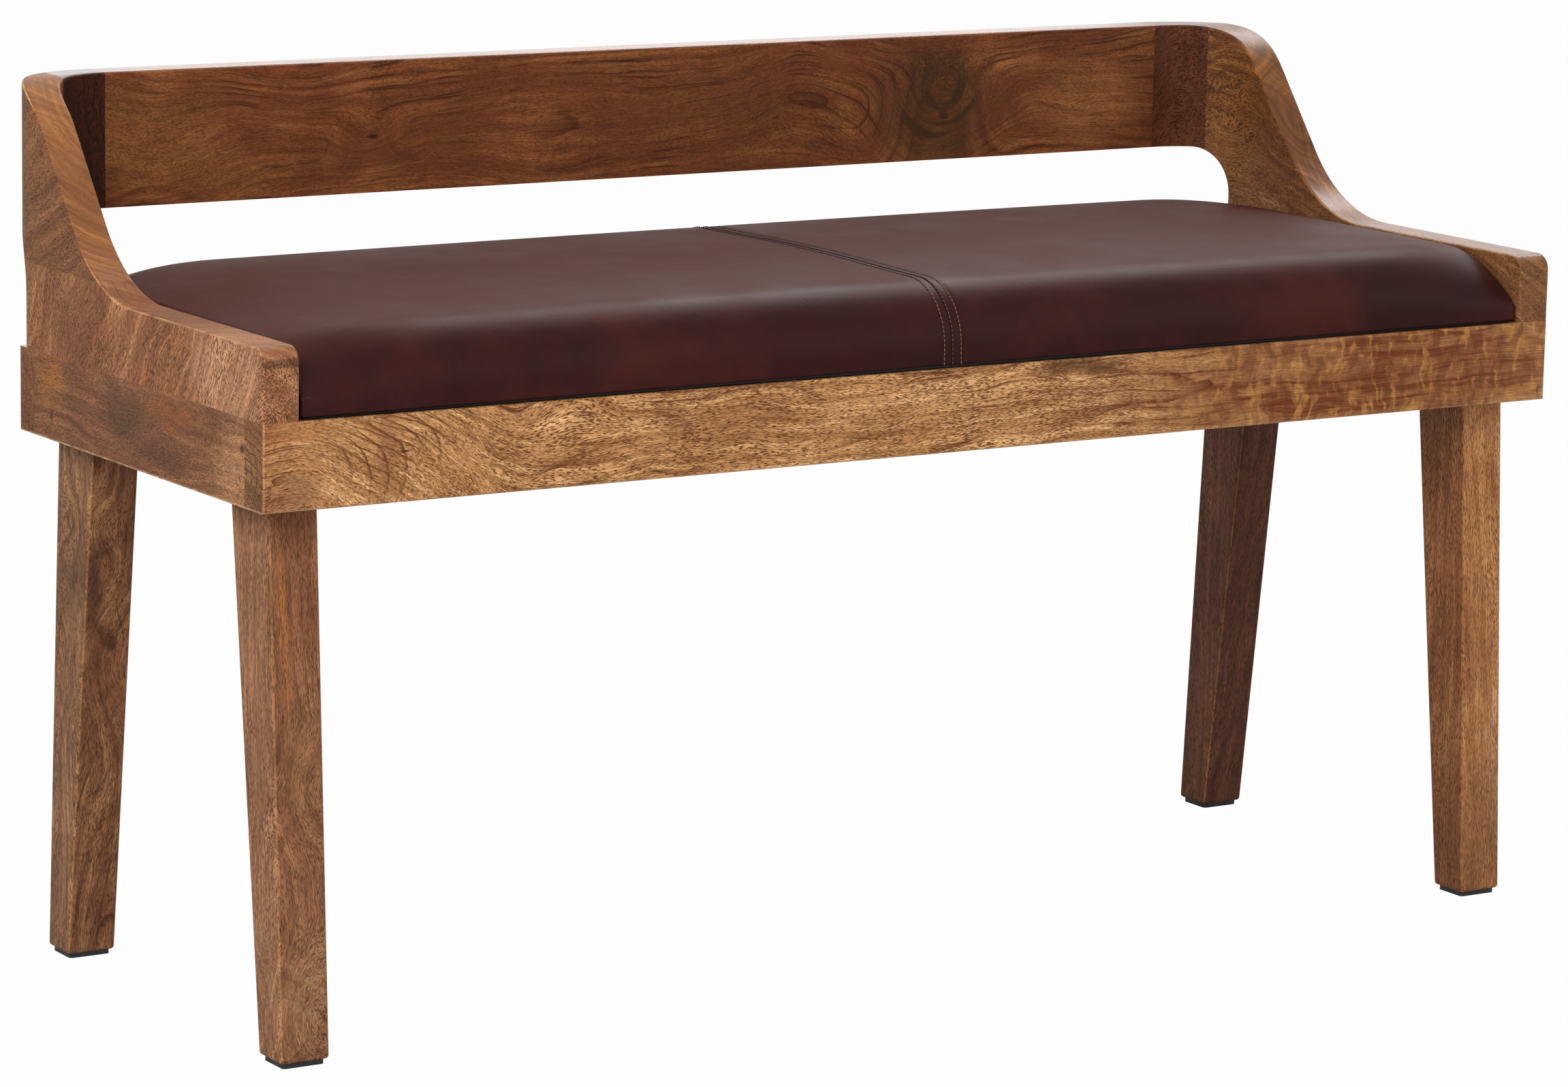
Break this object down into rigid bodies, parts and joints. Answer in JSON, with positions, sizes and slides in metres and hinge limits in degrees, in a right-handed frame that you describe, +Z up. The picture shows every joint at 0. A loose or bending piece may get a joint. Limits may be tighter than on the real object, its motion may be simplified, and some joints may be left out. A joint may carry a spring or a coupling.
{
  "type": "bench",
  "caption": "Long hall bench: tapered raked legs, plain apron, seamed leather seat pad, and a low wooden back whose rounded corners sweep down into the arms.",
  "frame": {"origin": "on the floor under the middle of the overall box, which the four foot pads stand on", "axes": "+Z up; +X along the bench, towards the right of someone who looks at its front; -Y is the open front, +Y the back"},
  "size_m": [1.2, 0.475, 0.698],
  "materials": {
    "front_rail_wood": "satin clear lacquer over warm brown stain",
    "rear_rail_wood": "satin clear lacquer over warm brown stain",
    "side_rail_wood": "satin clear lacquer over warm brown stain",
    "bearer_wood": "bare",
    "leg_wood": "satin clear lacquer over warm brown stain",
    "arm_wood": "satin clear lacquer over warm brown stain",
    "wing_wood": "satin clear lacquer over warm brown stain",
    "corner_wood": "satin clear lacquer over warm brown stain",
    "back_board_wood": "satin clear lacquer over warm brown stain",
    "seat_board_wood": "bare",
    "dowel_wood": "bare",
    "seat_leather": "waxed pull-up leather, soft sheen",
    "seat_foam": "open-cell foam, hidden",
    "dust_cover_cloth": "matt black non-woven cloth",
    "foot_pad_plastic": "matt black moulded",
    "bolt_steel": "zinc plated",
    "insert_brass": "plain turned"
  },
  "bodies": {
    "root": {"front_rail": "front_rail_wood", "rear_rail": "rear_rail_wood", "left_side_rail": "side_rail_wood", "right_side_rail": "side_rail_wood", "left_bearer": "bearer_wood", "right_bearer": "bearer_wood", "front_left_leg": "leg_wood", "front_right_leg": "leg_wood", "rear_left_leg": "leg_wood", "rear_right_leg": "leg_wood", "front_left_foot_pad": "foot_pad_plastic", "front_right_foot_pad": "foot_pad_plastic", "rear_left_foot_pad": "foot_pad_plastic", "rear_right_foot_pad": "foot_pad_plastic", "left_arm_board": "arm_wood", "right_arm_board": "arm_wood", "left_wing_block": "wing_wood", "right_wing_block": "wing_wood", "left_corner_block": "corner_wood", "right_corner_block": "corner_wood", "back_board": "back_board_wood", "seat_leather_left": "seat_leather", "seat_leather_right": "seat_leather", "seat_foam": "seat_foam", "seat_board": "seat_board_wood", "seat_dust_cover": "dust_cover_cloth", "seat_screws": "bolt_steel", "leg_bolts": "bolt_steel", "leg_washers": "bolt_steel", "leg_inserts": "insert_brass", "rail_dowels": "dowel_wood", "arm_dowels": "dowel_wood", "wing_dowels": "dowel_wood", "corner_dowels": "dowel_wood", "back_dowels": "dowel_wood"}
  },
  "joints": []
}
